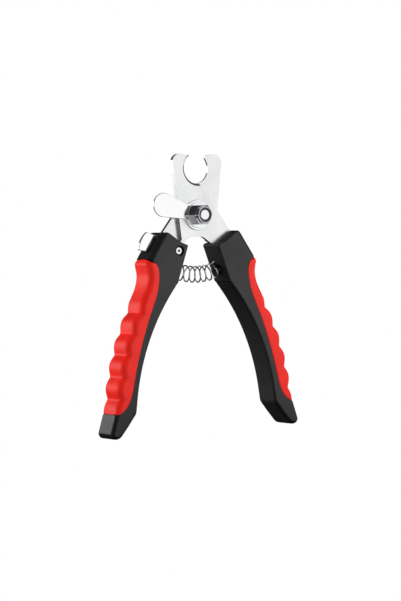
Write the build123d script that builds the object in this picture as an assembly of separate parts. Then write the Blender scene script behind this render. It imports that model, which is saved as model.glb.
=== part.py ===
"""Plier-type pet nail clipper: crossing blades, gripped handles, a guard, a lock and a return spring.

Millimetres. +X is to the right seen from the nut side, +Y points to the back and +Z to the jaws.
The clipper stands open on its handle tips. Outlines are drawn in the X-Z plane about the pivot axis,
for the right lever, and the left lever mirrors them.
"""
from build123d import *
import math
import os

os.makedirs("parts", exist_ok=True)

# Places of the whole clipper
PIVOT_HEIGHT = 113.6        # pivot axis above the handle tips
HANDLE_HALF = 7.6           # half thickness of a moulded handle
GRIP_PROUD = 0.2            # how far a grip's flat faces stand above the handle's

# Blades
BLADE_GAP = 0.05            # from the shearing plane to either blade
BLADE_THICK = 2.2
HOLE_HEIGHT = 24.5          # centre of the nail hole above the pivot
HOLE_ASIDE = 1.1            # the hole's centre lies a little to the right of the pivot
HOLE_R = 8.0
FRONT_JAW = [(-3.1, 31.3), (-9.5, 32.2), (-13.2, 30.9), (-14.6, 28.3)]    # tip, corner, shoulder, side
REAR_JAW = [(-7.3, 31.8), (-13.1, 31.9), (-16.5, 30.6), (-17.8, 27.5)]    # the same, turned over
FRONT_HEEL = (-10.0, -12.9)
REAR_HEEL = (-12.6, -12.9)
BEVEL_WIDE = 1.3            # ground cutting edge, seen from its own face
BEVEL_DEEP = 1.1

# Pivot stack, from the front blade forwards
SHANK_R = 3.0
RUNNING = 0.05              # radial clearance of a running fit
GUARD_THICK = 0.9
GUARD_GAP = 0.05            # between the guard and the front blade
WASHER_R = 6.9
WASHER_THICK = 1.0
NUT_ACROSS = 10.0
NUT_HEX_HIGH = 4.4
NUT_COLLAR_HIGH = 1.4
NUT_COLLAR_R = 4.55
INSERT_R = 3.95
BOLT_HEAD_R = 5.25
BOLT_HEAD_HIGH = 3.3
SOCKET_ACROSS = 4.0
SOCKET_DEEP = 2.0

# Guard
GUARD_REACH = 21.9
GUARD_ANGLE = 165.3         # direction of the parked paddle
PADDLE_R = 6.3
EYE_R = 8.0
NECK_R = 4.0
NECK_START = 8.0

# Handle
BOW_CENTRE = (-79.8, -111.3)  # the handle bends about this point
RIPPLE_R = 135.3            # mean radius of the finger ripples
RIPPLE_HIGH = 0.8           # crest above the mean radius
RIPPLE_PITCH = 11.6
FIRST_CREST = 29.7          # degrees, seen from the bow's centre
RIPPLES = 5
OUTER_ROUND = 3.0
INNER_ROUND = 1.1
GRIP_ROUND = 3.2
HEAD_INNER = (9.7, -16.0)
HEAD_KNEE = (12.4, -15.4)
HEAD_OUTER = (22.9, -8.4)
NECK_OUTER = (34.4, -24.6)
NOSE = (35.0, -26.4)
FIRST_HOLLOW = (33.5, -32.4)
GRIP_FOOT = (56.0, -100.8)
TIP = [(59.4, -109.2), (58.8, -112.4), (56.2, -113.6), (53.0, -112.2), (47.2, -105.2)]
PALM_CORNER = (44.2, -100.2)
PALM_BOW = (36.0, -66.0)
STEP_LOW = (17.8, -36.1)
STEP_HIGH = (16.7, -35.1)

# Grip: the edge on the handle's faces, and the core under it
GRIP_EDGE = [(36.4, -23.4), (31.0, -27.2), (28.7, -33.4), (33.0, -47.5), (39.6, -64.5), (44.6, -82.0),
             (47.7, -93.6), (51.4, -98.8), (57.8, -101.6)]
CORE_R = 131.8              # the core's outer side under the grip, from the bow's centre
CORE_HALF = 6.0

# Lock
RIVET = (15.0, -18.4)
RIVET_R = 1.3
RIVET_BORE_R = 0.75
RIVET_FLANGE_R = 1.95
RIVET_FLANGE_THICK = 0.6
COUNTERBORE_R = 2.7
COUNTERBORE_DEEP = 1.4
LEVER_FRONT = -1.95
LEVER_BACK = -0.35
LEVER_EYE_R = 3.0
HEEL_SWEEP_R = 20.4
SLOT_FRONT = -2.55          # the head's slot, in front of the shearing plane

# Return spring, bowed between two pegs
SPRING_R = 4.1              # to the wire's centre
WIRE_R = 0.4
SPRING_TURNS = 7
SEAT = (14.15, -28.5)       # where the spring's axis meets the handle's inner face
SEAT_ANGLE = 21.0           # tilt of that face's normal below the horizontal
SEAT_GAP = 0.6
PEG_R = 2.8
PEG_LONG = 2.5

FRONT_BLADE_FACE = -BLADE_GAP - BLADE_THICK
REAR_BLADE_FACE = BLADE_GAP + BLADE_THICK
GUARD_FACE = FRONT_BLADE_FACE - GUARD_GAP - GUARD_THICK
WASHER_FACE = GUARD_FACE - WASHER_THICK
NUT_HEX_FACE = WASHER_FACE - NUT_HEX_HIGH
NUT_FACE = NUT_HEX_FACE - NUT_COLLAR_HIGH
# The middle between the nut's face and the backs of the grips, which is moved to y = 0
MIDDLE_Y = (NUT_FACE + HANDLE_HALF + GRIP_PROUD) / 2


def plate(outline, front, back):
    """Solid between y = front and y = back, from an outline drawn in X-Z."""
    return extrude(Plane.XZ.offset(-back) * outline, amount=back - front)


def disc(radius, front, back, centre=(0, 0)):
    """Round plate with its axis along Y."""
    return plate(Pos(*centre) * Circle(radius), front, back)


def from_bow(degrees, radius):
    """Point at an angle and distance from the bow's centre."""
    angle = math.radians(degrees)
    return (BOW_CENTRE[0] + radius * math.cos(angle), BOW_CENTRE[1] + radius * math.sin(angle))


def soften(solid, radius, wanted):
    """Round the edges on the solid's flat front and back whose middle the test accepts."""
    front = solid.bounding_box().min.Y
    back = solid.bounding_box().max.Y
    edges = []
    for edge in solid.edges():
        middle = edge.position_at(0.5)
        ends = [vertex.Y for vertex in edge.vertices()]
        flat = min(abs(middle.Y - front), abs(middle.Y - back)) < 1e-4
        level = max(ends) - min(ends) < 1e-4
        if flat and level and wanted(middle.X, middle.Z):
            edges.append(edge)
    return fillet(edges, radius)


# ---------------------------------------------------------------- blades

def blade_outline(jaw, heel, hole_x, tip_x, crossing_x):
    """A blade seen with its jaw on the left and its tang going down to the right."""
    nose, corner, shoulder, side = jaw
    tip = (tip_x, HOLE_HEIGHT + math.sqrt(HOLE_R ** 2 - (tip_x - hole_x) ** 2))
    crossing = (crossing_x, HOLE_HEIGHT - math.sqrt(HOLE_R ** 2 - (crossing_x - hole_x) ** 2))
    outline = Polyline(tip, nose, corner) + ThreePointArc(corner, shoulder, side)
    outline += Polyline(side, heel, (-13.2, -15.2), (-12.6, -16.0), (-11.2, -16.4), (-9.2, -14.6),
                        (-7.4, -13.7))
    outline += ThreePointArc((-7.4, -13.7), (-6.6, -12.1), (-5.1, -11.4))
    outline += Line((-5.1, -11.4), (2.6, -11.5))
    outline += ThreePointArc((2.6, -11.5), (3.9, -11.9), (5.0, -12.6))
    outline += Polyline((5.0, -12.6), (8.7, -15.2), (11.4, -18.0), (14.9, -26.0), (21.0, -37.5),
                        (31.6, -54.0), (32.6, -54.5), (34.0, -53.4), (30.0, -43.0), (26.6, -30.0),
                        (27.0, -16.8), crossing)
    outline += ThreePointArc(crossing, (hole_x - HOLE_R, HOLE_HEIGHT), tip)
    return make_face(outline)


def ground_blade(outline, hole_x):
    """Stamped plate in front of the shearing plane, with the cutting edge ground from its front."""
    steel = plate(outline, FRONT_BLADE_FACE, -BLADE_GAP)
    for hole in [(20.6, -28.0), (26.0, -42.0)]:
        steel -= disc(2.2, FRONT_BLADE_FACE, -BLADE_GAP, hole)
    edge = FRONT_BLADE_FACE + BEVEL_DEEP
    above = FRONT_BLADE_FACE - BEVEL_DEEP
    cone = Polyline((0, edge), (HOLE_R, edge), (HOLE_R + 2 * BEVEL_WIDE, above), (0, above), (0, edge))
    return steel - Pos(hole_x, 0, HOLE_HEIGHT) * revolve(make_face(cone), Axis.Y)


def front_blade():
    """Blade of the right lever, which turns on the bolt."""
    outline = blade_outline(FRONT_JAW, FRONT_HEEL, HOLE_ASIDE, -3.3, 2.1)
    return ground_blade(outline, HOLE_ASIDE) - disc(SHANK_R + RUNNING, FRONT_BLADE_FACE, -BLADE_GAP)


def rear_blade():
    """Blade of the left lever, turned over behind the front one and bored for the bolt and rivet."""
    outline = blade_outline(REAR_JAW, REAR_HEEL, -HOLE_ASIDE, -7.0, -0.4)
    steel = ground_blade(outline, -HOLE_ASIDE)
    steel = mirror(mirror(steel, about=Plane.YZ), about=Plane.XZ)
    steel -= disc(SHANK_R, BLADE_GAP, REAR_BLADE_FACE)
    return steel - disc(RIVET_R, BLADE_GAP, REAR_BLADE_FACE, (-RIVET[0], RIVET[1]))


# ---------------------------------------------------------------- pivot

def pivot_bolt():
    """Button-head bolt: socket head at the back, shank through both blades, guard, washer and nut."""
    base = REAR_BLADE_FACE
    top = base + BOLT_HEAD_HIGH
    flat_r = 2.9
    rim = base + 0.7
    profile = Polyline((0, base), (BOLT_HEAD_R, base), (BOLT_HEAD_R, rim))
    profile += ThreePointArc((BOLT_HEAD_R, rim), (4.5, base + 2.3), (flat_r, top))
    profile += Polyline((flat_r, top), (0, top), (0, base))
    head = revolve(make_face(profile), Axis.Y)
    bolt = head + disc(SHANK_R, NUT_FACE + 0.3, base)
    bolt -= plate(RegularPolygon(SOCKET_ACROSS / 2, 6, major_radius=False), top - SOCKET_DEEP, top)
    end = bolt.edges().filter_by(GeomType.CIRCLE).sort_by(Axis.Y)[0]
    return chamfer(end, 0.5)


def lock_nut():
    """Self-locking nut: hexagon with a rolled collar that holds a nylon ring."""
    nut = plate(RegularPolygon(NUT_ACROSS / 2, 6, major_radius=False), NUT_HEX_FACE, WASHER_FACE)
    face_r = 0.95 * NUT_ACROSS / 2
    cone_long = 8
    cone = Cone(face_r + cone_long / math.tan(math.radians(30)), face_r, cone_long)
    nut &= Pos(0, NUT_HEX_FACE + cone_long / 2, 0) * Rot(90, 0, 0) * cone
    collar = disc(NUT_COLLAR_R, NUT_FACE, NUT_HEX_FACE)
    collar = fillet(collar.edges().sort_by(Axis.Y)[0], 0.6)
    nut += collar
    nut -= disc(INSERT_R, NUT_FACE, NUT_HEX_FACE + 0.6)
    return nut - disc(SHANK_R, NUT_FACE, WASHER_FACE)


def nut_insert():
    """Nylon ring pressed into the nut's collar."""
    ring = disc(INSERT_R, NUT_FACE + 0.45, NUT_HEX_FACE + 0.6)
    return ring - disc(SHANK_R, NUT_FACE, NUT_HEX_FACE + 0.6)


def nut_washer():
    """Plain washer under the nut."""
    washer = disc(WASHER_R, WASHER_FACE, GUARD_FACE) - disc(SHANK_R + 0.1, WASHER_FACE, GUARD_FACE)
    return fillet(washer.edges().filter_by(GeomType.CIRCLE).sort_by(SortBy.RADIUS)[-2:], 0.2)


def safety_guard():
    """Thin spoon-shaped plate on the pivot that can swing up over the nail hole."""
    widening = math.asin((PADDLE_R - NECK_R) / (GUARD_REACH - NECK_START))
    wide = (GUARD_REACH - PADDLE_R * math.sin(widening), PADDLE_R * math.cos(widening))
    narrow_x = NECK_START - 3
    narrow = (narrow_x, wide[1] - (wide[0] - narrow_x) * math.tan(widening))
    corners = [narrow, wide, (wide[0], -wide[1]), (narrow[0], -narrow[1])]
    spoon = Circle(EYE_R) + make_face(Polyline(corners + [narrow])) + Pos(GUARD_REACH, 0) * Circle(PADDLE_R)
    joints = [v for v in spoon.vertices() if abs(math.hypot(v.X, v.Y) - EYE_R) < 0.01 and abs(v.Y) > 1]
    spoon = fillet(joints, 3.0)
    spoon -= Circle(SHANK_R + RUNNING)
    guard = plate(Rot(0, 0, GUARD_ANGLE) * spoon, GUARD_FACE, FRONT_BLADE_FACE - GUARD_GAP)
    return soften(guard, 0.3, lambda x, z: math.hypot(x, z) > SHANK_R + 1)


# ---------------------------------------------------------------- handles

def ripple_points():
    """Crests and hollows of the finger ripples, from the top down."""
    points = []
    half_step = math.degrees(RIPPLE_PITCH / RIPPLE_R) / 2
    for i in range(2 * RIPPLES):
        side = 1 if i % 2 == 0 else -1
        points.append(from_bow(FIRST_CREST - i * half_step, RIPPLE_R + side * RIPPLE_HIGH))
    return points


def handle_outline(knuckle_side):
    """Right handle seen from the front, closed by the given curve from the neck to the grip's foot."""
    outline = Polyline(STEP_LOW, STEP_HIGH, HEAD_INNER, HEAD_KNEE, HEAD_OUTER, NECK_OUTER) + knuckle_side
    outline += Polyline(GRIP_FOOT, *TIP, PALM_CORNER) + ThreePointArc(PALM_CORNER, PALM_BOW, STEP_LOW)
    return make_face(outline)


def gripped_side():
    """Knuckle side with the grip's nose and its finger ripples."""
    points = ripple_points()
    return Polyline(NECK_OUTER, NOSE, FIRST_HOLLOW, points[0]) + Spline(points) + Line(points[-1], GRIP_FOOT)


def plain_side():
    """Knuckle side of the moulding, smooth along the ripples' crests."""
    points = ripple_points()
    return Spline([NECK_OUTER, FIRST_HOLLOW, points[0], points[4], points[8], GRIP_FOOT])


def is_outer(x, z):
    """Edges on the knuckle side, from the head's outer corner down to the tip."""
    on_top = x < HEAD_OUTER[0] and z > HEAD_INNER[1]
    beyond_core = math.hypot(x - BOW_CENTRE[0], z - BOW_CENTRE[1]) > CORE_R
    return beyond_core and not on_top and z > TIP[1][1] + 0.4


def grip_region(half):
    """Everything outside the grip's edge, through the handle's thickness."""
    beyond = 80
    edge = Spline(GRIP_EDGE)
    edge += Polyline(GRIP_EDGE[-1], (beyond, GRIP_EDGE[-1][1]), (beyond, GRIP_EDGE[0][1]), GRIP_EDGE[0])
    return plate(make_face(edge), -half, half)


def ring_cutter(half):
    """Ring about the bow's centre that rounds the back edge of a plate bent along the ripples."""
    waste = 6
    start = RIPPLE_R - GRIP_ROUND
    shoulder = half - GRIP_ROUND
    middle = GRIP_ROUND * math.sqrt(0.5)
    profile = Polyline((start, half), (start, half + waste), (RIPPLE_R + waste, half + waste),
                       (RIPPLE_R + waste, shoulder), (RIPPLE_R, shoulder))
    profile += ThreePointArc((RIPPLE_R, shoulder), (start + middle, shoulder + middle), (start, half))
    return Pos(BOW_CENTRE[0], 0, BOW_CENTRE[1]) * revolve(make_face(profile), Axis.Y)


def grip():
    """Soft rubber skin that wraps the knuckle side, moulded over the handle's core."""
    half = HANDLE_HALF + GRIP_PROUD
    skin = plate(handle_outline(gripped_side()), -half, half) & grip_region(half + 1)
    skin -= disc(CORE_R, -CORE_HALF, CORE_HALF, BOW_CENTRE)
    cutter = ring_cutter(half)
    return skin - cutter - mirror(cutter, about=Plane.XZ)


def seat_place(depth):
    """Place on the spring seat's axis of the right handle, local +Z pointing to the other handle."""
    return Pos(SEAT[0], 0, SEAT[1]) * Rot(0, -90 - SEAT_ANGLE, 0) * Pos(0, 0, depth)


def bare_handle():
    """Right handle's moulding: a thinner core under the grip, and the spring's peg."""
    form = plate(handle_outline(plain_side()), -HANDLE_HALF, HANDLE_HALF)
    form = soften(form, OUTER_ROUND, is_outer)
    form = soften(form, INNER_ROUND, lambda x, z: not is_outer(x, z))
    form -= grip_region(HANDLE_HALF + 1) - disc(CORE_R, -CORE_HALF, CORE_HALF, BOW_CENTRE)
    root = 2
    peg = seat_place((PEG_LONG - root) / 2) * Cylinder(PEG_R, PEG_LONG + root)
    peg = chamfer(peg.edges().sort_by(Axis.X)[0], 0.4)
    return form + peg


def head_slot(front, back, floor):
    """Slot in a head, open at the top, that leaves a wall on the palm side; floor ends its outline."""
    high = 10
    wall = [(10.1, high), (10.1, -15.4), (11.5, -18.0), (11.5, -19.8)]
    return plate(make_face(Polyline(wall + floor + [wall[0]])), front, back)


def left_handle(blade):
    """Moulding of the lock's side: slots for the blade's tang, the other blade's hook and the lock lever."""
    lever_floor = [(13.2, -22.0), (16.0, -22.2), (31.4, -18.9), (45, -18.9), (45, 10)]
    body = bare_handle() - head_slot(SLOT_FRONT, BLADE_GAP, lever_floor)
    body = mirror(body, about=Plane.YZ) - blade
    rivet = (-RIVET[0], RIVET[1])
    floor = HANDLE_HALF - COUNTERBORE_DEEP
    for front, back in [(-HANDLE_HALF, -floor), (floor, HANDLE_HALF)]:
        body -= disc(COUNTERBORE_R, front, back, rivet)
    return body - disc(RIVET_R, -HANDLE_HALF, HANDLE_HALF, rivet)


def right_handle(blade):
    """Moulding of the other side: slots for the blade's tang and the other blade's hook."""
    sweep = disc(HEEL_SWEEP_R + 0.5, -BLADE_GAP, -SLOT_FRONT)
    slot = head_slot(-BLADE_GAP, -SLOT_FRONT, [(45, -19.6), (45, 10)]) & sweep
    return bare_handle() - slot - blade


# ---------------------------------------------------------------- lock and spring

def lock_lever():
    """Flat lever on the left handle: a thumb tab outside, and a nose that blocks the other blade's hook."""
    x, z = RIVET
    clear = HEEL_SWEEP_R + 0.35
    near = clear / math.hypot(x, z)
    inner_start = (near * x, near * z)
    inner_end = (16.5, -math.sqrt(clear ** 2 - 16.5 ** 2))
    inner_middle = (15.0, -math.sqrt(clear ** 2 - 15.0 ** 2))
    outline = ThreePointArc(inner_start, inner_middle, inner_end)
    outline += Polyline(inner_end, (21.9, -8.95), (22.7, -8.9), (24.6, -9.9), (26.6, -10.0), (31.2, -8.2))
    tab_end = (36.4, -16.5)
    outline += ThreePointArc((31.2, -8.2), (34.7, -11.8), tab_end)
    outline += ThreePointArc(tab_end, (36.3, -17.3), (35.6, -17.6)) + Line((35.6, -17.6), (15.9, -21.2))
    outline += Polyline((15.9, -21.2), (13.6, -20.9), (12.4, -18.6), inner_start)
    lever = plate(make_face(outline) + Pos(x, z) * Circle(LEVER_EYE_R), LEVER_FRONT, LEVER_BACK)
    lever -= disc(RIVET_R + RUNNING, LEVER_FRONT, LEVER_BACK, RIVET)
    lever = soften(lever, 0.3, lambda ex, ez: math.hypot(ex - x, ez - z) > 8)
    return mirror(lever, about=Plane.YZ)


def lock_rivet():
    """Hollow rivet, flanged into both counterbores."""
    place = (-RIVET[0], RIVET[1])
    floor = HANDLE_HALF - COUNTERBORE_DEEP
    rivet = disc(RIVET_R, -floor, floor, place)
    for side in (-1, 1):
        flange = disc(RIVET_FLANGE_R, *sorted((side * floor, side * (floor + RIVET_FLANGE_THICK))), place)
        rim = flange.edges().filter_by(GeomType.CIRCLE).sort_by(Axis.Y)[0 if side < 0 else -1]
        rivet += fillet(rim, 0.4)
    return rivet - disc(RIVET_BORE_R, -HANDLE_HALF, HANDLE_HALF, place)


def return_spring():
    """Compression spring whose axis is an arc between the two pegs."""
    bow_r = SEAT[0] / math.sin(math.radians(SEAT_ANGLE))
    centre_z = SEAT[1] + bow_r * math.cos(math.radians(SEAT_ANGLE))
    half_arc = math.radians(SEAT_ANGLE) - SEAT_GAP / bow_r
    steps_per_turn = 8
    steps = SPRING_TURNS * steps_per_turn
    points = []
    for i in range(steps + 1):
        along = -half_arc + 2 * half_arc * i / steps
        turn = 2 * math.pi * i / steps_per_turn
        radius = bow_r + SPRING_R * math.cos(turn)
        x = radius * math.sin(along)
        z = centre_z - radius * math.cos(along)
        points.append(Vector(x, SPRING_R * math.sin(turn), z))
    path = Spline(points)
    return sweep(Plane(path @ 0, z_dir=path % 0) * Circle(WIRE_R), path=path)


def main():
    front = front_blade()
    rear = rear_blade()
    right_grip = grip()
    nodes = {
        "front_blade": front,
        "rear_blade": rear,
        "safety_guard": safety_guard(),
        "pivot_bolt": pivot_bolt(),
        "nut_washer": nut_washer(),
        "lock_nut": lock_nut(),
        "nut_insert": nut_insert(),
        "left_handle": left_handle(rear),
        "right_handle": right_handle(front),
        "left_grip": mirror(right_grip, about=Plane.YZ),
        "right_grip": right_grip,
        "lock_lever": lock_lever(),
        "lock_rivet": lock_rivet(),
        "return_spring": return_spring(),
    }
    stand = Pos(0, -MIDDLE_Y, PIVOT_HEIGHT)
    for name, solid in nodes.items():
        export_step(stand * solid, f"parts/{name}.step")
    print("pivot at y", -MIDDLE_Y, "z", PIVOT_HEIGHT)


main()
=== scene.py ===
import math

import bpy
import numpy as np
from mathutils import Matrix, Vector


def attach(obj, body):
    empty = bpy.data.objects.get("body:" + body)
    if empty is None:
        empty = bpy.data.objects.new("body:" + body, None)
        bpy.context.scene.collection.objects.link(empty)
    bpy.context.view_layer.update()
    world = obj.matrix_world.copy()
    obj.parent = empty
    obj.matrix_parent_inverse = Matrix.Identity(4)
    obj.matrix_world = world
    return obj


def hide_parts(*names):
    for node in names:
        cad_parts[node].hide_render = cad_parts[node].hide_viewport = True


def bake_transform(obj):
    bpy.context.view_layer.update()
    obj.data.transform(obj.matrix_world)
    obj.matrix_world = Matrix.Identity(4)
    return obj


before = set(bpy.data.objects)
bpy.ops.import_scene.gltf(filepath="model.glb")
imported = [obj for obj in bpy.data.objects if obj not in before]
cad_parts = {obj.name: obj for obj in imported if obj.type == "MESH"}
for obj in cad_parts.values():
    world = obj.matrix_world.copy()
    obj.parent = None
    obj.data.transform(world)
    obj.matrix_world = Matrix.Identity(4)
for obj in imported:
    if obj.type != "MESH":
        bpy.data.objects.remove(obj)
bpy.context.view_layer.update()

# Row frame places, in metres. Outlines below are in millimetres about the pivot, for the right lever.
PIVOT = Vector((0.0, 0.0011, 0.1136))
MM = 0.001


def place(x, y, z):
    """Row frame point of a place given in millimetres from the pivot."""
    return PIVOT + Vector((x, y, z)) * MM


# ---------------------------------------------------------------- camera

CAM_AZIMUTH = -34.0
CAM_ELEVATION = 1.9
CAM_ROLL = -1.55
CAM_DISTANCE = 1.1
CAM_ASIDE = 0.0018
CAM_ALONG = -0.04495
CAM_LENS = 125.4


def make_camera():
    azimuth, elevation = math.radians(CAM_AZIMUTH), math.radians(CAM_ELEVATION)
    level = math.cos(elevation)
    back = Vector((math.sin(azimuth) * level, -math.cos(azimuth) * level, math.sin(elevation)))
    right = Vector((math.cos(azimuth), math.sin(azimuth), 0))
    up = back.cross(right)
    data = bpy.data.cameras.new("camera")
    data.lens = CAM_LENS
    data.sensor_width = 36.0
    data.clip_start, data.clip_end = 0.05, 20.0
    camera = bpy.data.objects.new("camera", data)
    turn = Matrix((right, up, back)).transposed().to_4x4() @ Matrix.Rotation(math.radians(CAM_ROLL), 4, "Z")
    target = PIVOT + right * CAM_ASIDE + up * CAM_ALONG
    camera.matrix_world = Matrix.Translation(target + back * CAM_DISTANCE) @ turn
    bpy.context.scene.collection.objects.link(camera)
    bpy.context.scene.camera = camera


# ---------------------------------------------------------------- material tools

# The Mix node's two inputs and its output, by number, for colours and for plain numbers
COLOUR_SOCKETS = (6, 7, 2)
NUMBER_SOCKETS = (2, 3, 0)


class Nodes:
    """Short calls for building a material's node tree."""

    def __init__(self, name):
        self.material = bpy.data.materials.new(name)
        self.material.use_nodes = True
        self.tree = self.material.node_tree
        self.tree.nodes.clear()
        self.shader = self.add("ShaderNodeBsdfPrincipled")
        self.output = self.add("ShaderNodeOutputMaterial")
        self.link(self.shader.outputs["BSDF"], self.output.inputs["Surface"])
        self.texture = self.add("ShaderNodeTexCoord")
        self.coords = self.texture.outputs["Object"]

    def add(self, kind, **settings):
        node = self.tree.nodes.new(kind)
        for key, value in settings.items():
            if key in node.inputs:
                node.inputs[key].default_value = value
            else:
                setattr(node, key, value)
        return node

    def link(self, source, target):
        self.tree.links.new(source, target)

    def feed(self, value, socket):
        """A socket takes a link, a number or a colour."""
        if isinstance(value, bpy.types.NodeSocket):
            self.link(value, socket)
        elif isinstance(value, tuple):
            socket.default_value = (*value, 1)
        else:
            socket.default_value = value

    def set(self, **values):
        for key, value in values.items():
            self.feed(value, self.shader.inputs[key.replace("_", " ")])

    def stretched(self, scale, turn=(0, 0, 0)):
        mapping = self.add("ShaderNodeMapping")
        mapping.inputs["Scale"].default_value = scale
        mapping.inputs["Rotation"].default_value = turn
        self.link(self.coords, mapping.inputs["Vector"])
        return mapping.outputs["Vector"]

    def noise(self, scale, vector=None, detail=3.0, rough=0.55):
        node = self.add("ShaderNodeTexNoise", Scale=scale, Detail=detail, Roughness=rough)
        self.link(vector or self.coords, node.inputs["Vector"])
        return node.outputs["Fac"]

    def span(self, factor, low, high, from_low=0.3, from_high=0.7):
        node = self.add("ShaderNodeMapRange")
        node.inputs["From Min"].default_value = from_low
        node.inputs["From Max"].default_value = from_high
        node.inputs["To Min"].default_value = low
        node.inputs["To Max"].default_value = high
        self.link(factor, node.inputs["Value"])
        return node.outputs["Result"]

    def maths(self, operation, first, second=0.0):
        node = self.add("ShaderNodeMath", operation=operation)
        self.feed(first, node.inputs[0])
        self.feed(second, node.inputs[1])
        return node.outputs["Value"]

    def mix(self, factor, first, second):
        """Colour or number between first, at factor 0, and second, at factor 1."""
        coloured = self.is_colour(first) or self.is_colour(second)
        first_in, second_in, out = COLOUR_SOCKETS if coloured else NUMBER_SOCKETS
        node = self.add("ShaderNodeMix", data_type="RGBA" if coloured else "FLOAT")
        self.link(factor, node.inputs[0])
        self.feed(first, node.inputs[first_in])
        self.feed(second, node.inputs[second_in])
        return node.outputs[out]

    def is_colour(self, value):
        return isinstance(value, tuple) or getattr(value, "type", "") == "RGBA"

    def normal(self, axis):
        """One component of the surface normal in the row frame at rest."""
        split = self.add("ShaderNodeSeparateXYZ")
        self.link(self.texture.outputs["Normal"], split.inputs["Vector"])
        return split.outputs[axis]

    def flatness(self):
        """1 where the surface faces along the pivot, 0 where it faces sideways."""
        return self.maths("ABSOLUTE", self.normal("Y"))

    def bump(self, height, distance, strength=1.0):
        node = self.add("ShaderNodeBump", Distance=distance, Strength=strength)
        self.link(height, node.inputs["Height"])
        self.link(node.outputs["Normal"], self.shader.inputs["Normal"])


# ---------------------------------------------------------------- materials

# How far the normal has to point along an axis, from not at all to fully, for each kind of surface
EDGE_SPAN = (0.45, 0.7)
FACE_SPAN = (0.9, 0.99)
PALM_SPAN = (0.55, 0.9)
UPPER_SPAN = (0.6, 0.8)

EDGE_ROUGH = (0.1, 0.22)
FACE_BLACK = [(0.015, 0.015, 0.016), (0.029, 0.029, 0.030)]
SMOOTH_BLACK = (0.008, 0.008, 0.009)
PALM_BLACK = (0.011, 0.011, 0.011)
RED = [(0.76, 0.010, 0.004), (0.88, 0.016, 0.007)]
NYLON = [(0.02, 0.021, 0.024), (0.035, 0.037, 0.042)]


def brushed(name, light, dark, rough, grain, turn=(0, 0, 0), depth=0.000004, side=None):
    """Steel with fine parallel grinding lines and a soft cloudiness."""
    n = Nodes(name)
    n.set(Metallic=1.0)
    lines = n.noise(1.0, n.stretched(grain, turn), 4.0, 0.6)
    cloud = n.noise(55.0, None, 2.0)
    both = n.maths("ADD", n.maths("MULTIPLY", lines, 0.5), n.maths("MULTIPLY", cloud, 0.5))
    colour = n.mix(n.span(both, 0, 1), dark, light)
    roughness = n.span(both, rough[1], rough[0])
    # Surfaces that face sideways take the side colour, a darker tone painted on as shade in place of the
    # dark reflections on walls and flats
    if side:
        edge = n.span(n.flatness(), 1, 0, *EDGE_SPAN)
        colour = n.mix(edge, colour, side)
        roughness = n.mix(edge, roughness, n.span(lines, *EDGE_ROUGH))
    n.set(Base_Color=colour, Roughness=roughness)
    n.bump(lines, depth)
    return n.material


def plastic(name, palm):
    """Black moulded plastic: flat faces spark-eroded, rounded borders smooth, palm side and top duller."""
    n = Nodes(name)
    n.set(IOR=1.46)
    grain = n.noise(4200.0, None, 2.0, 0.6)
    pebble = n.noise(1500.0, None, 2.0, 0.5)
    wear = n.noise(60.0, None, 3.0)
    face = n.span(n.flatness(), 0, 1, *FACE_SPAN)
    inner = n.span(n.maths("MULTIPLY", n.normal("X"), palm), 0, 1, *PALM_SPAN)
    textured = n.mix(n.span(pebble, 0, 1), *FACE_BLACK)
    smooth = n.mix(inner, SMOOTH_BLACK, PALM_BLACK)
    n.set(Base_Color=n.mix(face, smooth, textured))
    polish = n.mix(inner, n.span(wear, 0.24, 0.34), n.span(wear, 0.5, 0.6))
    upper = n.span(n.normal("Z"), 0, 1, *UPPER_SPAN)
    border = n.mix(upper, polish, n.span(wear, 0.6, 0.7))
    n.set(Roughness=n.mix(face, border, n.span(wear, 0.44, 0.56)))
    relief = n.maths("ADD", grain, n.maths("MULTIPLY", pebble, 1.5))
    n.bump(n.maths("MULTIPLY", relief, n.span(face, 0.15, 1.0, 0, 1)), 0.00003, 0.6)
    return n.material


def rubber(name):
    """Red soft-touch rubber: satin, with a faint mottling and a very fine skin texture."""
    n = Nodes(name)
    n.set(IOR=1.42)
    skin = n.noise(4200.0, None, 2.0, 0.6)
    mottle = n.noise(140.0, None, 3.0)
    n.set(Base_Color=n.mix(n.span(mottle, 0, 1), *RED))
    n.set(Roughness=n.span(mottle, 0.38, 0.48))
    n.bump(skin, 0.00002, 0.5)
    return n.material


def nylon(name):
    """Dark nylon of the nut's locking ring."""
    n = Nodes(name)
    mottle = n.noise(900.0, None, 2.0)
    n.set(Base_Color=n.mix(n.span(mottle, 0, 1), *NYLON))
    n.set(Roughness=n.span(mottle, 0.3, 0.42))
    n.bump(mottle, 0.00002)
    return n.material


def dress(thing, material):
    """Puts a material on a CAD node, given by name, or on a new piece."""
    if isinstance(thing, str):
        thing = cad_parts[thing]
    thing.data.materials.clear()
    thing.data.materials.append(material)


# ---------------------------------------------------------------- mesh tools

def make_piece(name, points, faces, material):
    """New smooth-shaded object from row frame points."""
    mesh = bpy.data.meshes.new(name)
    mesh.from_pydata([tuple(p) for p in points], [], faces)
    mesh.validate()
    mesh.shade_smooth()
    piece = bpy.data.objects.new(name, mesh)
    bpy.context.scene.collection.objects.link(piece)
    dress(piece, material)
    return piece


def loft(rings, flip=False):
    """Faces of a closed tube through rings of equal length, with an end cap at either end."""
    count = len(rings[0])
    faces = []
    for i in range(len(rings) - 1):
        for j in range(count):
            k = (j + 1) % count
            faces.append((i * count + j, i * count + k, (i + 1) * count + k, (i + 1) * count + j))
    last = (len(rings) - 1) * count
    faces.append(tuple(range(count - 1, -1, -1)))
    faces.append(tuple(range(last, last + count)))
    if flip:
        faces = [tuple(reversed(face)) for face in faces]
    return faces


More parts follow.
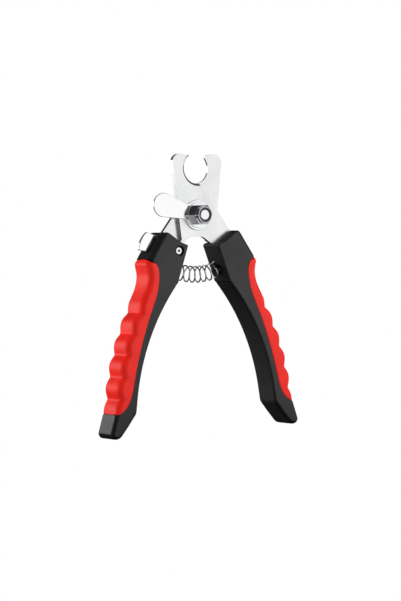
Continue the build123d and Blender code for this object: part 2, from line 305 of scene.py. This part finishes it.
def through(table, t):
    """Smooth (Catmull-Rom) interpolation in rows of (t, values...)."""
    rows = np.array(table, float)
    at = rows[:, 0]
    i = int(np.clip(np.searchsorted(at, t) - 1, 0, len(at) - 2))
    f = (t - at[i]) / (at[i + 1] - at[i])
    before, after = max(i - 1, 0), min(i + 2, len(at) - 1)
    step = at[i + 1] - at[i]
    slope0 = (rows[i + 1] - rows[before]) / (at[i + 1] - at[before]) * step
    slope1 = (rows[after] - rows[i]) / (at[after] - at[i]) * step
    f2, f3 = f * f, f * f * f
    value = rows[i] * (2 * f3 - 3 * f2 + 1) + slope0 * (f3 - 2 * f2 + f)
    value += rows[i + 1] * (3 * f2 - 2 * f3) + slope1 * (f3 - f2)
    return value[1:]


# ---------------------------------------------------------------- grips

BOW_CENTRE = np.array((-79.8, -111.3))
RIPPLE_HIGH = 0.85
RIPPLE_STEP = 4.913       # degrees from crest to crest, about the bow's centre
FIRST_CREST = 29.7
LAST_CREST = FIRST_CREST - 5 * RIPPLE_STEP
VALLEY_ROUND = 0.03
GRIP_FACE = 7.8
GRIP_ROUND = 3.2
CROWN_HIGH = 0.3          # how far the middle of the knuckle side stands out
CORE_R = 131.85
CORE_HALF = 6.08
OVERLAP = 0.15            # how far the grip's lip laps over the plastic
# Share of the way down, then angle and radius of the knuckle side's mean line, and of the grip's edge
GRIP_LINES = [
    (0.00, 38.30, 142.9, 38.31, 142.8),
    (0.03, 37.75, 142.9, 38.50, 140.6),
    (0.055, 37.05, 142.5, 38.20, 138.6),
    (0.08, 36.50, 141.0, 37.70, 136.8),
    (0.13, 35.20, 138.0, 36.00, 133.6),
    (0.19, 33.00, 135.9, 33.10, 130.7),
    (0.27, 29.70, 135.3, 29.60, 129.4),
    (0.50, 21.50, 135.3, 21.40, 128.1),
    (0.75, 12.50, 135.3, 12.40, 127.7),
    (0.88, 8.20, 135.3, 7.90, 128.6),
    (0.94, 6.00, 135.3, 5.60, 131.3),
    (0.975, 4.90, 135.3, 4.55, 134.4),
    (1.00, 4.30, 135.4, 4.29, 136.1),
]
# Distance from the grip's edge, and how far the surface is sunk there, for a small rounded lip
LIP = [(0.0, 0.75), (0.02, 0.22), (0.16, 0.07), (0.42, 0.0)]
# The same at either end, by share of the way along
TOP_END = [(0.0, 0.9), (0.001, 0.5), (0.004, 0.25), (0.009, 0.1), (0.015, 0.03)]
FOOT_END = [(0.0, 0.75), (0.001, 0.22), (0.0035, 0.07)]
# The top end is lower towards the faces, like a fingertip, over a share of the way down
DOME_HIGH = 1.7
DOME_SHARE = 0.09
DOME_LEAN = 0.3
# Plain part of the grip between its ends, and the part of its edge that the handle's bed follows
PLAIN_FROM, PLAIN_SHARE = 0.022, 0.97
GRIP_STATIONS = 150
GRIP_SAMPLES = 16
BED_FROM, BED_SHARE = 0.03, 0.94
BED_STEPS = 48
BED_BEYOND = 160.0


def polar(degrees, radius):
    angle = math.radians(degrees)
    return BOW_CENTRE + radius * np.array((math.cos(angle), math.sin(angle)))


def ripple(degrees):
    """Finger ripples with broad crests and tight hollows, +1 to about -1, level beyond the end crests."""
    turn = math.pi * (min(max(degrees, LAST_CREST), FIRST_CREST) - FIRST_CREST) / RIPPLE_STEP
    top = math.sqrt(1 + VALLEY_ROUND)
    low = math.sqrt(VALLEY_ROUND)
    height = math.sqrt(math.cos(turn) ** 2 + VALLEY_ROUND)
    return 2 * (height - low) / (top - low) - 1


def grip_profile(depth, along):
    """Point and outward normal on half a section.

    Along is in millimetres from the section's edge, and depth is from the edge to the knuckle side.
    """
    flat = max(0.0, depth - GRIP_ROUND)
    start = math.asin(min(1.0, max(0.0, 1 - depth / GRIP_ROUND)))
    bend = GRIP_ROUND * (math.pi / 2 - start)
    if along < flat:
        return depth - along, GRIP_FACE, (0.0, 1.0)
    if along < flat + bend:
        angle = start + (along - flat) / GRIP_ROUND
        inward = GRIP_ROUND * (1 - math.sin(angle))
        return inward, GRIP_FACE - GRIP_ROUND * (1 - math.cos(angle)), (math.sin(angle), math.cos(angle))
    return 0.0, max(0.0, GRIP_FACE - GRIP_ROUND - (along - flat - bend)), (1.0, 0.0)


def profile_length(depth):
    start = math.asin(min(1.0, max(0.0, 1 - depth / GRIP_ROUND)))
    return max(0.0, depth - GRIP_ROUND) + GRIP_ROUND * (math.pi / 2 - start) + GRIP_FACE - GRIP_ROUND


def grip_lines(t):
    """Point on the knuckle side, point on the grip's edge, direction and distance between them."""
    out_angle, out_radius, edge_angle, edge_radius = through(GRIP_LINES, t)
    outside = polar(out_angle, out_radius + RIPPLE_HIGH * ripple(out_angle))
    edge = polar(edge_angle, edge_radius)
    depth = float(np.linalg.norm(outside - edge))
    outward = (outside - edge) / max(depth, 1e-6)
    if depth < 0.5:
        outward = polar(out_angle, 1) - BOW_CENTRE
    return outside, edge - outward * OVERLAP, outward, depth + OVERLAP


def grip_section(t, sink, samples):
    """One closed ring of the grip: lip, face, rounded corner, knuckle side, back the same way, core."""
    outside, inside, outward, depth = grip_lines(t)
    length = profile_length(depth)
    half = []
    lip_end = LIP[-1][0]
    stops = [a for a, _ in LIP]
    stops += [lip_end + (length - lip_end) * i / samples for i in range(1, samples + 1)]
    drops = [d for _, d in LIP] + [0.0] * samples
    for along, drop in zip(stops, drops):
        inward, high, normal = grip_profile(depth, along)
        crown = CROWN_HIGH * (1 - (high / GRIP_FACE) ** 2)
        drop = max(drop, sink) - crown
        spot = outside - outward * (inward + normal[0] * drop)
        half.append((spot[0], high - normal[1] * drop, spot[1]))
    gap = CORE_R - np.linalg.norm(inside - BOW_CENTRE)
    core = inside + outward * max(0.0, gap)
    inner = [(inside[0], CORE_HALF, inside[1]), (core[0], CORE_HALF, core[1])]
    front = [(x, -y, z) for x, y, z in reversed(inner)] + [(x, -y, z) for x, y, z in half]
    back = [point for point in reversed(half[:-1])] + inner
    return front + back


def grip_bed(least):
    """Outline of everything outside the grip's edge and a radius about the bow's centre."""
    top, foot = GRIP_LINES[0][1], GRIP_LINES[-1][1]
    bed = [polar(top, BED_BEYOND), polar(top, GRIP_LINES[0][2])]
    for i in range(1, BED_STEPS):
        spot = grip_lines(BED_FROM + BED_SHARE * i / BED_STEPS)[1] - BOW_CENTRE
        radius = float(np.linalg.norm(spot))
        bed.append(BOW_CENTRE + spot / radius * max(radius, least))
    bed += [polar(foot, GRIP_LINES[-1][2]), polar(foot, BED_BEYOND)]
    return [(float(x), float(z)) for x, z in bed]


def make_grip(name, side, material):
    places = list(TOP_END)
    for i in range(GRIP_STATIONS + 1):
        places.append((PLAIN_FROM + PLAIN_SHARE * i / GRIP_STATIONS, 0.0))
    places += [(1 - t, sink) for t, sink in reversed(FOOT_END)]
    points = []
    rings = []
    for t, sink in places:
        dome = DOME_HIGH * max(0.0, 1 - t / DOME_SHARE) ** 2
        ring = []
        for x, y, z in grip_section(t, sink, GRIP_SAMPLES):
            down = dome * (abs(y) / GRIP_FACE) ** 3
            ring.append(place(side * (x + down * DOME_LEAN), y, z - down))
        rings.append(ring)
        points += ring
    return make_piece(name, points, loft(rings, side > 0), material)


# ---------------------------------------------------------------- handles

HANDLE_HALF = 7.6
# Corners of the right handle seen from the front: place, corner radius, and rounding of the rim after it
HEAD_CORNERS = [((9.2, -15.6), 0.95, 0.9), ((13.2, -14.2), 3.0, 0.8), ((23.5, -7.4), 3.2, 3.0),
                ((35.0, -24.6), 6.0, 3.0), ((31.8, -34.2), 6.0, 3.0)]
UNDER_GRIP_R = 133.9
UNDER_GRIP_FROM, UNDER_GRIP_TO = 33.0, 6.4
TIP_CORNERS = [((56.2, -101.2), 5.0, 2.3), ((60.0, -112.8), 4.5, 2.1), ((54.3, -114.3), 6.0, 2.1),
               ((48.9, -108.0), 12.0, 2.0), ((43.7, -101.4), 4.0, 1.6)]
PALM_CENTRE = (-68.55, -109.15)
PALM_R = 112.5
PALM_FROM, PALM_TO = 8.0, 40.0
STEP_CORNERS = [((17.5, -36.3), 1.0, 0.9), ((16.3, -35.2), 1.0, 0.9)]
RIM_STEPS = 7
CORNER_SHARE = 0.49       # most of a side that one corner's rounding may take
CORNER_STEP = 0.35
LEAST_STEP_R = 1.5        # tighter corners get as many points as one of this radius
UNDER_GRIP_STEPS = 30
UNDER_GRIP_RIM = 3.0
PALM_STEPS = 40
PALM_RIM = 1.1
HEAD_SLOT = [(10.1, 10.0), (10.1, -15.4), (11.5, -18.0), (11.5, -19.8)]
LEVER_FLOOR = [(13.2, -22.0), (16.0, -22.2), (31.4, -18.9), (45.0, -18.9), (45.0, 10.0)]
HOOK_SWEEP_R = 20.9
SLOT_WIDE = 2.55
SLOT_CLEAR = 0.12
RIVET_PLACE = (15.0, -18.4)
COUNTERBORE_R = 2.7
COUNTERBORE_DEEP = 1.4
PEG_R = 2.8
PEG_LONG = 2.5
PEG_SUNK = 2.5            # how far the peg starts inside the handle
PEG_SIDES = 32
# How far short of the peg's end, and how much less its radius is there
PEG_END = [(0.5, 0.0), (0.15, 0.15), (0.0, 0.5)]
BORE_STEPS = 47
BORE_TO = 352.5           # the outline's closing side makes the rest of the full turn
HOOK_FROM, HOOK_TO = -56.8, -19
HOOK_STEPS = 20
SLOT_TOP = 10.0
BEYOND_FACE = 1
SHARP_ANGLE = 32


def arc_points(centre, radius, start, end, steps):
    """Points on an arc, angles in degrees."""
    points = []
    for i in range(steps + 1):
        angle = math.radians(start + (end - start) * i / steps)
        points.append((centre[0] + radius * math.cos(angle), centre[1] + radius * math.sin(angle)))
    return points


def corner_arc(before, spot, after, radius):
    """Points round a corner, the radius cut down where the neighbouring corners are too near for it."""
    a, b = before - spot, after - spot
    a_long, b_long = np.linalg.norm(a), np.linalg.norm(b)
    a, b = a / a_long, b / b_long
    half = math.acos(float(np.clip(a @ b, -1, 1))) / 2
    reach = min(radius / math.tan(half), CORNER_SHARE * a_long, CORNER_SHARE * b_long)
    radius = reach * math.tan(half)
    middle = (a + b) / np.linalg.norm(a + b)
    centre = spot + middle * radius / math.sin(half)
    first, last = spot + a * reach - centre, spot + b * reach - centre
    turn = math.atan2(first[0] * last[1] - first[1] * last[0], first @ last)
    steps = max(2, int(abs(turn) * max(radius, LEAST_STEP_R) / CORNER_STEP))
    points = []
    for k in range(steps + 1):
        c, s = math.cos(turn * (k / steps)), math.sin(turn * (k / steps))
        points.append(centre + (c * first[0] - s * first[1], s * first[0] + c * first[1]))
    return points


def rounded_outline(stretches):
    """Closed outline from (place, corner radius, rim rounding) rows, with the rounding at each point."""
    points, rims = [], []
    count = len(stretches)
    for i, (corner, radius, rim) in enumerate(stretches):
        spot = np.array(corner)
        if not radius:
            points.append(spot)
            rims.append(rim)
            continue
        before, after = np.array(stretches[i - 1][0]), np.array(stretches[(i + 1) % count][0])
        arc = corner_arc(before, spot, after, radius)
        earlier = stretches[i - 1][2]
        for k, point in enumerate(arc):
            f = k / (len(arc) - 1)
            points.append(point)
            rims.append(earlier + (rim - earlier) * f * f * (3 - 2 * f))
    return np.array(points), np.array(rims)


def handle_outline():
    """Right handle's outline, going down the knuckle side and back up the palm side."""
    under_grip = arc_points(BOW_CENTRE, UNDER_GRIP_R, UNDER_GRIP_FROM, UNDER_GRIP_TO, UNDER_GRIP_STEPS)
    palm = arc_points(PALM_CENTRE, PALM_R, PALM_FROM, PALM_TO, PALM_STEPS)
    rows = list(HEAD_CORNERS)
    rows += [(point, 0, UNDER_GRIP_RIM) for point in under_grip]
    rows += TIP_CORNERS
    rows += [(point, 0, PALM_RIM) for point in palm]
    rows += STEP_CORNERS
    return rounded_outline(rows)


def inward_normals(points):
    """Mitred inward directions of a clockwise outline, so that an offset keeps its edges parallel."""
    ahead = np.roll(points, -1, 0) - points
    ahead /= np.linalg.norm(ahead, axis=1)[:, None]
    behind = np.roll(ahead, 1, 0)
    right = np.stack([ahead[:, 1] + behind[:, 1], -ahead[:, 0] - behind[:, 0]], 1)
    right /= np.linalg.norm(right, axis=1)[:, None]
    across = right[:, 0] * ahead[:, 1] - right[:, 1] * ahead[:, 0]
    return right / np.abs(across)[:, None]


def solid(name, rings, flip):
    """Plain closed object from rings, for a boolean."""
    mesh = bpy.data.meshes.new(name)
    mesh.from_pydata([tuple(p) for ring in rings for p in ring], [], loft(rings, flip))
    thing = bpy.data.objects.new(name, mesh)
    bpy.context.scene.collection.objects.link(thing)
    return thing


def prism(outline, front, back, side):
    """Straight-sided solid from an outline in millimetres, mirrored to the left for side -1."""
    rings = [[place(side * x, y, z) for x, z in outline] for y in (front, back)]
    area = sum(x0 * z1 - x1 * z0 for (x0, z0), (x1, z1) in zip(outline, list(outline[1:]) + [outline[0]]))
    return solid("cutter", rings, area * side > 0)


def peg(side):
    """Stub that holds the spring's end, on the handle's palm side."""
    angle = math.radians(SEAT_ANGLE)
    axis = np.array((-math.cos(angle), 0, -math.sin(angle)))
    across = np.array((0, 1, 0))
    up = np.cross(axis, across)
    seat = np.array((SPRING_SEAT[0], 0, SPRING_SEAT[1]))
    rings = []
    rows = [(-PEG_SUNK, PEG_R)] + [(PEG_LONG - short, PEG_R - less) for short, less in PEG_END]
    for depth, radius in rows:
        ring = []
        for i in range(PEG_SIDES):
            turn = 2 * math.pi * i / PEG_SIDES
            spot = seat + axis * depth + radius * (math.cos(turn) * across + math.sin(turn) * up)
            ring.append(place(side * spot[0], spot[1], spot[2]))
        rings.append(ring)
    return solid("cutter", rings, side < 0)


def carve(thing, cutters):
    """Applies booleans one after the other and removes the cutters."""
    for operation, cutter in cutters:
        modifier = thing.modifiers.new("carve", "BOOLEAN")
        modifier.operation = operation
        modifier.solver = "EXACT"
        modifier.object = cutter
    bpy.context.view_layer.update()
    done = bpy.data.meshes.new_from_object(thing.evaluated_get(bpy.context.evaluated_depsgraph_get()))
    thing.modifiers.clear()
    thing.data = done
    for _, cutter in cutters:
        bpy.data.objects.remove(cutter)


def left_cuts(side):
    """Slot for the other blade's hook and the lock lever, and the rivet's two counterbores."""
    bore = arc_points(RIVET_PLACE, COUNTERBORE_R, 0, BORE_TO, BORE_STEPS)
    outside, floor = HANDLE_HALF + BEYOND_FACE, HANDLE_HALF - COUNTERBORE_DEEP
    return [prism(HEAD_SLOT + LEVER_FLOOR, -SLOT_WIDE, SLOT_CLEAR, side),
            prism(bore, -outside, -floor, side),
            prism(bore, floor, outside, side)]


def right_cuts(side):
    """Slot for the other blade's hook, as far out as the hook sweeps."""
    hook = HEAD_SLOT[:2] + arc_points((0, 0), HOOK_SWEEP_R, HOOK_FROM, HOOK_TO, HOOK_STEPS)
    return [prism(hook + [(HOOK_SWEEP_R, SLOT_TOP)], -SLOT_CLEAR, SLOT_WIDE, side)]


def grip_cuts(side):
    """Bed of the grip: a shallow step in either face, and the grip's core cut right through."""
    outside = HANDLE_HALF + BEYOND_FACE
    return [prism(grip_bed(0), -outside, -CORE_HALF, side),
            prism(grip_bed(0), CORE_HALF, outside, side),
            prism(grip_bed(CORE_R), -outside, outside, side)]


def rim_rings(side):
    """The handle's outline from front to back, drawn in at either face for the rounded rims."""
    points, rims = handle_outline()
    inward = inward_normals(points)
    rings = []
    for end in (-1, 1):
        for k in range(RIM_STEPS + 1):
            angle = math.pi / 2 * k / RIM_STEPS
            angle = angle if end < 0 else math.pi / 2 - angle
            deep = rims * (1 - math.sin(angle))
            high = HANDLE_HALF - rims * (1 - math.cos(angle))
            spots = points + inward * deep[:, None]
            rings.append([place(side * x, end * y, z) for (x, z), y in zip(spots, high)])
    return rings


def make_handle(name, side, material):
    handle = solid(name, rim_rings(side), side < 0)
    cuts = left_cuts(side) if side < 0 else right_cuts(side)
    cutters = [("UNION", peg(side))]
    cutters += [("DIFFERENCE", cutter) for cutter in cuts + grip_cuts(side)]
    carve(handle, cutters)
    handle.data.shade_smooth()
    handle.data.set_sharp_from_angle(angle=math.radians(SHARP_ANGLE))
    weighted = handle.modifiers.new("flat_faces", "WEIGHTED_NORMAL")
    weighted.keep_sharp = True
    weighted.weight = 100
    dress(handle, material)
    return handle


# ---------------------------------------------------------------- spring

SPRING_SEAT = (14.15, -28.5)
SEAT_ANGLE = 21.0
SEAT_GAP = 0.45
COIL_R = 4.1
WIRE_R = 0.4
COILS = 7.4
STEPS_PER_COIL = 40
FIRST_TURN = 0.6
MIDDLE_CLOSER = 0.12      # how much closer the coils lie in the middle than if evenly spaced
WIRE_SIDES = 12
WIRE_END = 0.55           # the wire's ends are narrower


def spring_line():
    """Middle of the wire, in millimetres, and the height of the centre of the spring's bow."""
    bow_r = SPRING_SEAT[0] / math.sin(math.radians(SEAT_ANGLE))
    centre_z = SPRING_SEAT[1] + bow_r * math.cos(math.radians(SEAT_ANGLE))
    half_arc = math.radians(SEAT_ANGLE) - SEAT_GAP / bow_r
    steps = int(COILS * STEPS_PER_COIL)
    line = []
    for i in range(steps + 1):
        share = 2 * i / steps - 1
        along = half_arc * share * (1 - MIDDLE_CLOSER * (1 - abs(share) ** 4))
        turn = 2 * math.pi * COILS * i / steps + FIRST_TURN
        radius = bow_r + COIL_R * math.cos(turn)
        x, z = radius * math.sin(along), centre_z - radius * math.cos(along)
        line.append(np.array((x, COIL_R * math.sin(turn), z)))
    return line, centre_z


def make_spring(name, material):
    """Bowed compression spring, wound round an arc between the two pegs."""
    line, centre_z = spring_line()
    last = len(line) - 1
    middle = np.array((0, 0, centre_z))
    rings = []
    for i, spot in enumerate(line):
        ahead = line[min(i + 1, last)] - line[max(i - 1, 0)]
        ahead /= np.linalg.norm(ahead)
        side = np.cross(ahead, spot - middle)
        side /= np.linalg.norm(side)
        other = np.cross(side, ahead)
        thick = WIRE_R * (WIRE_END if i in (0, last) else 1.0)
        ring = []
        for j in range(WIRE_SIDES):
            angle = 2 * math.pi * j / WIRE_SIDES
            ring.append(place(*(spot + thick * (math.cos(angle) * side + math.sin(angle) * other))))
        rings.append(ring)
    return make_piece(name, [p for ring in rings for p in ring], loft(rings), material)


# ---------------------------------------------------------------- stage

AIM_BELOW = 0.04          # the lights aim this far under the pivot
WORLD_SEEN, WORLD_LIGHT = 1.0, 0.08
FLOOR_SIZE = 6
FLOOR_HEIGHT = -0.0002
FLOOR_GLOW = 0.1
# Places on the floor that are dark in reflections, their strength and the floor's, and the border between
DARK_PATCHES = [(-0.12, 0.35, 0.0), (-0.42, -0.66, 0.0)]
PATCH_LIGHT, FLOOR_LIGHT = 0.02, 0.85
PATCH_BORDER = (0.4, 0.54)


def area_light(name, azimuth, elevation, distance, size, radiance, glossy=True):
    """Soft box that faces the clipper. Azimuth 0 is in front of the nut, 90 to the right."""
    a, e = math.radians(azimuth), math.radians(elevation)
    aim = PIVOT - Vector((0, 0, AIM_BELOW))
    away = Vector((math.sin(a) * math.cos(e), -math.cos(a) * math.cos(e), math.sin(e)))
    data = bpy.data.lights.new(name, "AREA")
    data.shape = "RECTANGLE"
    data.size, data.size_y = size
    data.energy = radiance * math.pi * size[0] * size[1]
    lamp = bpy.data.objects.new(name, data)
    lamp.location = aim + away * distance
    lamp.rotation_euler = away.to_track_quat("Z", "Y").to_euler()
    lamp.visible_glossy = glossy
    bpy.context.scene.collection.objects.link(lamp)


def make_world():
    """White where it is seen directly, and a dim studio in everything it lights."""
    world = bpy.data.worlds.new("world")
    bpy.context.scene.world = world
    world.use_nodes = True
    tree = world.node_tree
    seen = tree.nodes.new("ShaderNodeLightPath")
    strength = tree.nodes.new("ShaderNodeMapRange")
    strength.inputs["To Min"].default_value = WORLD_LIGHT
    strength.inputs["To Max"].default_value = WORLD_SEEN
    tree.links.new(seen.outputs["Is Camera Ray"], strength.inputs["Value"])
    tree.links.new(strength.outputs["Result"], tree.nodes["Background"].inputs["Strength"])
    tree.nodes["Background"].inputs["Color"].default_value = (1, 1, 1, 1)


def floor_in_reflections(n):
    """Light of the floor as metal and plastic mirror it: bright, with two dark patches for contrast."""
    away = []
    for centre in DARK_PATCHES:
        radius = n.add("ShaderNodeVectorMath", operation="DISTANCE")
        n.link(n.coords, radius.inputs[0])
        radius.inputs[1].default_value = centre
        away.append(radius.outputs["Value"])
    glow = n.add("ShaderNodeEmission")
    strength = n.span(n.maths("MINIMUM", *away), PATCH_LIGHT, FLOOR_LIGHT, *PATCH_BORDER)
    n.link(strength, glow.inputs["Strength"])
    return glow.outputs["Emission"]


def floor_paper():
    """White paper that lights the clipper from below and is clear to the camera."""
    n = Nodes("floor_paper")
    fibre = n.noise(400.0)
    n.set(Base_Color=n.mix(n.span(fibre, 0, 1), (0.34, 0.34, 0.34), (0.38, 0.38, 0.38)))
    n.set(Roughness=1.0, Specular_IOR_Level=0.0, Emission_Color=(1, 1, 1), Emission_Strength=FLOOR_GLOW)
    seen = n.add("ShaderNodeLightPath")
    clear = n.add("ShaderNodeBsdfTransparent")
    mirrored = n.add("ShaderNodeMixShader")
    n.link(seen.outputs["Is Glossy Ray"], mirrored.inputs["Fac"])
    n.link(n.shader.outputs["BSDF"], mirrored.inputs[1])
    n.link(floor_in_reflections(n), mirrored.inputs[2])
    to_camera = n.add("ShaderNodeMixShader")
    n.link(seen.outputs["Is Camera Ray"], to_camera.inputs["Fac"])
    n.link(mirrored.outputs["Shader"], to_camera.inputs[1])
    n.link(clear.outputs["BSDF"], to_camera.inputs[2])
    n.link(to_camera.outputs["Shader"], n.output.inputs["Surface"])
    return n.material


def make_floor():
    bpy.ops.mesh.primitive_plane_add(size=FLOOR_SIZE, location=(0, 0, FLOOR_HEIGHT))
    floor = bpy.context.object
    floor.name = "floor"
    dress(floor, floor_paper())


def make_stage():
    bpy.context.scene.view_settings.view_transform = "Standard"
    make_world()
    make_floor()
    area_light("right_box", 36, 10, 1.6, (2.1, 1.9), 0.93)
    area_light("left_box", -136, 4, 1.6, (1.5, 1.05), 1.9)
    area_light("top_box", -20, 78, 1.4, (1.2, 0.9), 0.4)
    area_light("right_fill", 35, 12, 1.6, (1.0, 1.0), 6.6, glossy=False)
    area_light("left_fill", -110, 12, 1.6, (1.0, 1.0), 7.2, glossy=False)


# ---------------------------------------------------------------- build

make_stage()
make_camera()

# The blades' side walls are a little darker: partly a real duller sheared edge, partly painted shade
# standing in for dark reflections
blade_steel = brushed("blade_steel", (0.87, 0.875, 0.88), (0.71, 0.715, 0.72), (0.2, 0.3),
                      (9000, 400, 260), side=(0.74, 0.74, 0.75))
polished = brushed("polished_steel", (0.95, 0.95, 0.96), (0.9, 0.9, 0.91), (0.1, 0.16), (500, 500, 6000))
ZINC = [(0.9, 0.91, 0.93), (0.8, 0.81, 0.84), (0.06, 0.12), (2500, 2500, 2500)]
zinc = brushed("zinc_plate", *ZINC)
# The nut's flats are painted far darker than its plating: painted shade standing in for the dark reflections
# on them
nut_steel_painted_shade = brushed("nut_plate_painted_shade", *ZINC, side=(0.3, 0.3, 0.31))
wire = brushed("spring_wire", (0.8, 0.8, 0.82), (0.6, 0.6, 0.62), (0.1, 0.2), (6000, 6000, 6000))
red = rubber("grip_rubber")
dark_nylon = nylon("insert_nylon")

for name, material in [("front_blade", blade_steel), ("rear_blade", blade_steel), ("safety_guard", polished),
                       ("pivot_bolt", zinc), ("nut_washer", zinc), ("lock_nut", nut_steel_painted_shade),
                       ("nut_insert", dark_nylon), ("left_handle", dark_nylon), ("right_handle", dark_nylon),
                       ("left_grip", red), ("right_grip", red), ("return_spring", wire),
                       ("lock_lever", polished), ("lock_rivet", zinc)]:
    dress(name, material)

for side, word in [(-1, "left"), (1, "right")]:
    skin = make_grip(f"{word}_grip_skin", side, red)
    shell = make_handle(f"{word}_handle_shell", side, plastic(f"{word}_plastic", -side))
    for piece, node, slot in [(skin, f"{word}_grip", "grip_rubber"),
                              (shell, f"{word}_handle", "handle_plastic")]:
        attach(piece, f"{word}_lever")
        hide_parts(node)

spring = make_spring("bowed_spring", wire)
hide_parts("return_spring")
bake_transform(spring)
